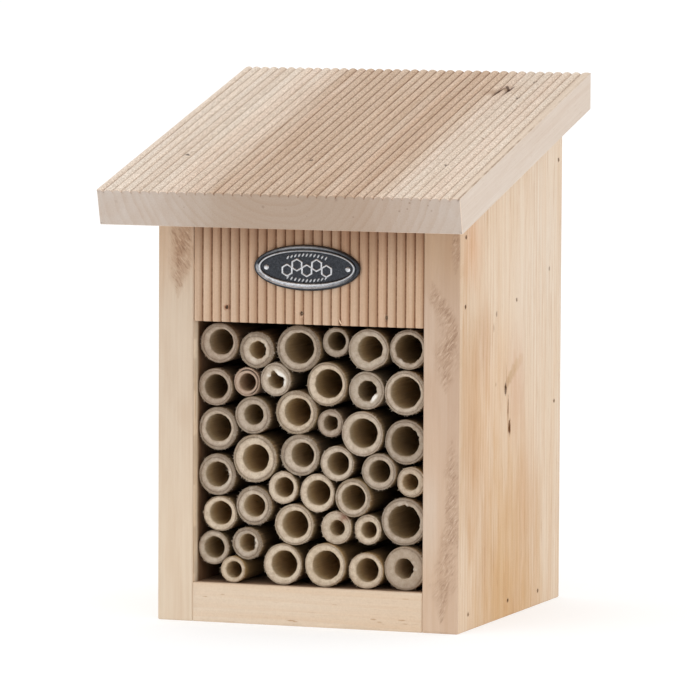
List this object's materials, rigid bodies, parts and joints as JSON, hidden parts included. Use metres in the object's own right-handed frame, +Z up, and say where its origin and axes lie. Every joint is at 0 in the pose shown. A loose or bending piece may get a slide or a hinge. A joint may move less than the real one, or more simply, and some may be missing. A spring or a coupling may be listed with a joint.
{
  "type": "bee hotel",
  "caption": "Wooden bee hotel: a nailed box of pale boards with a sloping reeded roof, a reeded front board with a small oval plaque, and an open bay of pull-out bamboo nesting tubes.",
  "frame": {"origin": "centre of the bounding box, on the plane the hotel stands on", "axes": "+Z up, -Y out of the front with its open tubes, +X to the right seen from the front"},
  "size_m": [0.1524, 0.166, 0.2191],
  "materials": {
    "side_board": "planed, untreated softwood",
    "floor_board": "planed, untreated softwood",
    "back_board": "planed, untreated softwood",
    "reeded_front": "moulded reeds, untreated softwood",
    "reeded_roof": "moulded reeds, untreated softwood",
    "bamboo": "saw-cut bamboo cane",
    "plaque_metal": "dark patina, rubbed bright on the raised lines",
    "pin_steel": "satin",
    "nail_steel": "dull"
  },
  "bodies": {
    "casing": {"left_side_board": "side_board", "right_side_board": "side_board", "floor_board": "floor_board", "back_board": "back_board", "front_board": "reeded_front", "ceiling_board": "back_board", "roof_board": "reeded_roof", "oval_plaque": "plaque_metal", "plaque_pins": "pin_steel", "side_nails_right": "nail_steel", "side_nails_left": "nail_steel", "roof_nails": "nail_steel", "front_board_nails": "nail_steel"},
    "tube_01": {"nest_tube_01": "bamboo"},
    "tube_02": {"nest_tube_02": "bamboo"},
    "tube_03": {"nest_tube_03": "bamboo"},
    "tube_04": {"nest_tube_04": "bamboo"},
    "tube_05": {"nest_tube_05": "bamboo"},
    "tube_06": {"nest_tube_06": "bamboo"},
    "tube_07": {"nest_tube_07": "bamboo"},
    "tube_08": {"nest_tube_08": "bamboo"},
    "tube_09": {"nest_tube_09": "bamboo"},
    "tube_10": {"nest_tube_10": "bamboo"},
    "tube_11": {"nest_tube_11": "bamboo"},
    "tube_12": {"nest_tube_12": "bamboo"},
    "tube_13": {"nest_tube_13": "bamboo"},
    "tube_14": {"nest_tube_14": "bamboo"},
    "tube_15": {"nest_tube_15": "bamboo"},
    "tube_16": {"nest_tube_16": "bamboo"},
    "tube_17": {"nest_tube_17": "bamboo"},
    "tube_18": {"nest_tube_18": "bamboo"},
    "tube_19": {"nest_tube_19": "bamboo"},
    "tube_20": {"nest_tube_20": "bamboo"},
    "tube_21": {"nest_tube_21": "bamboo"},
    "tube_22": {"nest_tube_22": "bamboo"},
    "tube_23": {"nest_tube_23": "bamboo"},
    "tube_24": {"nest_tube_24": "bamboo"},
    "tube_25": {"nest_tube_25": "bamboo"},
    "tube_26": {"nest_tube_26": "bamboo"},
    "tube_27": {"nest_tube_27": "bamboo"},
    "tube_28": {"nest_tube_28": "bamboo"},
    "tube_29": {"nest_tube_29": "bamboo"},
    "tube_30": {"nest_tube_30": "bamboo"},
    "tube_31": {"nest_tube_31": "bamboo"},
    "tube_32": {"nest_tube_32": "bamboo"},
    "tube_33": {"nest_tube_33": "bamboo"},
    "tube_34": {"nest_tube_34": "bamboo"},
    "tube_35": {"nest_tube_35": "bamboo"},
    "tube_36": {"nest_tube_36": "bamboo"},
    "tube_37": {"nest_tube_37": "bamboo"},
    "tube_38": {"nest_tube_38": "bamboo"},
    "tube_39": {"nest_tube_39": "bamboo"},
    "tube_40": {"nest_tube_40": "bamboo"}
  },
  "joints": [
    {"name": "tube_01_pull", "type": "slide", "parent": "casing", "child": "tube_01", "axis": [0, -1, 0], "range_m": [0, 0.125]},
    {"name": "tube_02_pull", "type": "slide", "parent": "casing", "child": "tube_02", "axis": [0, -1, 0], "range_m": [0, 0.125]},
    {"name": "tube_03_pull", "type": "slide", "parent": "casing", "child": "tube_03", "axis": [0, -1, 0], "range_m": [0, 0.125]},
    {"name": "tube_04_pull", "type": "slide", "parent": "casing", "child": "tube_04", "axis": [0, -1, 0], "range_m": [0, 0.125]},
    {"name": "tube_05_pull", "type": "slide", "parent": "casing", "child": "tube_05", "axis": [0, -1, 0], "range_m": [0, 0.125]},
    {"name": "tube_06_pull", "type": "slide", "parent": "casing", "child": "tube_06", "axis": [0, -1, 0], "range_m": [0, 0.125]},
    {"name": "tube_07_pull", "type": "slide", "parent": "casing", "child": "tube_07", "axis": [0, -1, 0], "range_m": [0, 0.125]},
    {"name": "tube_08_pull", "type": "slide", "parent": "casing", "child": "tube_08", "axis": [0, -1, 0], "range_m": [0, 0.125]},
    {"name": "tube_09_pull", "type": "slide", "parent": "casing", "child": "tube_09", "axis": [0, -1, 0], "range_m": [0, 0.125]},
    {"name": "tube_10_pull", "type": "slide", "parent": "casing", "child": "tube_10", "axis": [0, -1, 0], "range_m": [0, 0.125]},
    {"name": "tube_11_pull", "type": "slide", "parent": "casing", "child": "tube_11", "axis": [0, -1, 0], "range_m": [0, 0.125]},
    {"name": "tube_12_pull", "type": "slide", "parent": "casing", "child": "tube_12", "axis": [0, -1, 0], "range_m": [0, 0.125]},
    {"name": "tube_13_pull", "type": "slide", "parent": "casing", "child": "tube_13", "axis": [0, -1, 0], "range_m": [0, 0.125]},
    {"name": "tube_14_pull", "type": "slide", "parent": "casing", "child": "tube_14", "axis": [0, -1, 0], "range_m": [0, 0.125]},
    {"name": "tube_15_pull", "type": "slide", "parent": "casing", "child": "tube_15", "axis": [0, -1, 0], "range_m": [0, 0.125]},
    {"name": "tube_16_pull", "type": "slide", "parent": "casing", "child": "tube_16", "axis": [0, -1, 0], "range_m": [0, 0.125]},
    {"name": "tube_17_pull", "type": "slide", "parent": "casing", "child": "tube_17", "axis": [0, -1, 0], "range_m": [0, 0.125]},
    {"name": "tube_18_pull", "type": "slide", "parent": "casing", "child": "tube_18", "axis": [0, -1, 0], "range_m": [0, 0.125]},
    {"name": "tube_19_pull", "type": "slide", "parent": "casing", "child": "tube_19", "axis": [0, -1, 0], "range_m": [0, 0.125]},
    {"name": "tube_20_pull", "type": "slide", "parent": "casing", "child": "tube_20", "axis": [0, -1, 0], "range_m": [0, 0.125]},
    {"name": "tube_21_pull", "type": "slide", "parent": "casing", "child": "tube_21", "axis": [0, -1, 0], "range_m": [0, 0.125]},
    {"name": "tube_22_pull", "type": "slide", "parent": "casing", "child": "tube_22", "axis": [0, -1, 0], "range_m": [0, 0.125]},
    {"name": "tube_23_pull", "type": "slide", "parent": "casing", "child": "tube_23", "axis": [0, -1, 0], "range_m": [0, 0.125]},
    {"name": "tube_24_pull", "type": "slide", "parent": "casing", "child": "tube_24", "axis": [0, -1, 0], "range_m": [0, 0.125]},
    {"name": "tube_25_pull", "type": "slide", "parent": "casing", "child": "tube_25", "axis": [0, -1, 0], "range_m": [0, 0.125]},
    {"name": "tube_26_pull", "type": "slide", "parent": "casing", "child": "tube_26", "axis": [0, -1, 0], "range_m": [0, 0.125]},
    {"name": "tube_27_pull", "type": "slide", "parent": "casing", "child": "tube_27", "axis": [0, -1, 0], "range_m": [0, 0.125]},
    {"name": "tube_28_pull", "type": "slide", "parent": "casing", "child": "tube_28", "axis": [0, -1, 0], "range_m": [0, 0.125]},
    {"name": "tube_29_pull", "type": "slide", "parent": "casing", "child": "tube_29", "axis": [0, -1, 0], "range_m": [0, 0.125]},
    {"name": "tube_30_pull", "type": "slide", "parent": "casing", "child": "tube_30", "axis": [0, -1, 0], "range_m": [0, 0.125]},
    {"name": "tube_31_pull", "type": "slide", "parent": "casing", "child": "tube_31", "axis": [0, -1, 0], "range_m": [0, 0.125]},
    {"name": "tube_32_pull", "type": "slide", "parent": "casing", "child": "tube_32", "axis": [0, -1, 0], "range_m": [0, 0.125]},
    {"name": "tube_33_pull", "type": "slide", "parent": "casing", "child": "tube_33", "axis": [0, -1, 0], "range_m": [0, 0.125]},
    {"name": "tube_34_pull", "type": "slide", "parent": "casing", "child": "tube_34", "axis": [0, -1, 0], "range_m": [0, 0.125]},
    {"name": "tube_35_pull", "type": "slide", "parent": "casing", "child": "tube_35", "axis": [0, -1, 0], "range_m": [0, 0.125]},
    {"name": "tube_36_pull", "type": "slide", "parent": "casing", "child": "tube_36", "axis": [0, -1, 0], "range_m": [0, 0.125]},
    {"name": "tube_37_pull", "type": "slide", "parent": "casing", "child": "tube_37", "axis": [0, -1, 0], "range_m": [0, 0.125]},
    {"name": "tube_38_pull", "type": "slide", "parent": "casing", "child": "tube_38", "axis": [0, -1, 0], "range_m": [0, 0.125]},
    {"name": "tube_39_pull", "type": "slide", "parent": "casing", "child": "tube_39", "axis": [0, -1, 0], "range_m": [0, 0.125]},
    {"name": "tube_40_pull", "type": "slide", "parent": "casing", "child": "tube_40", "axis": [0, -1, 0], "range_m": [0, 0.125]}
  ]
}
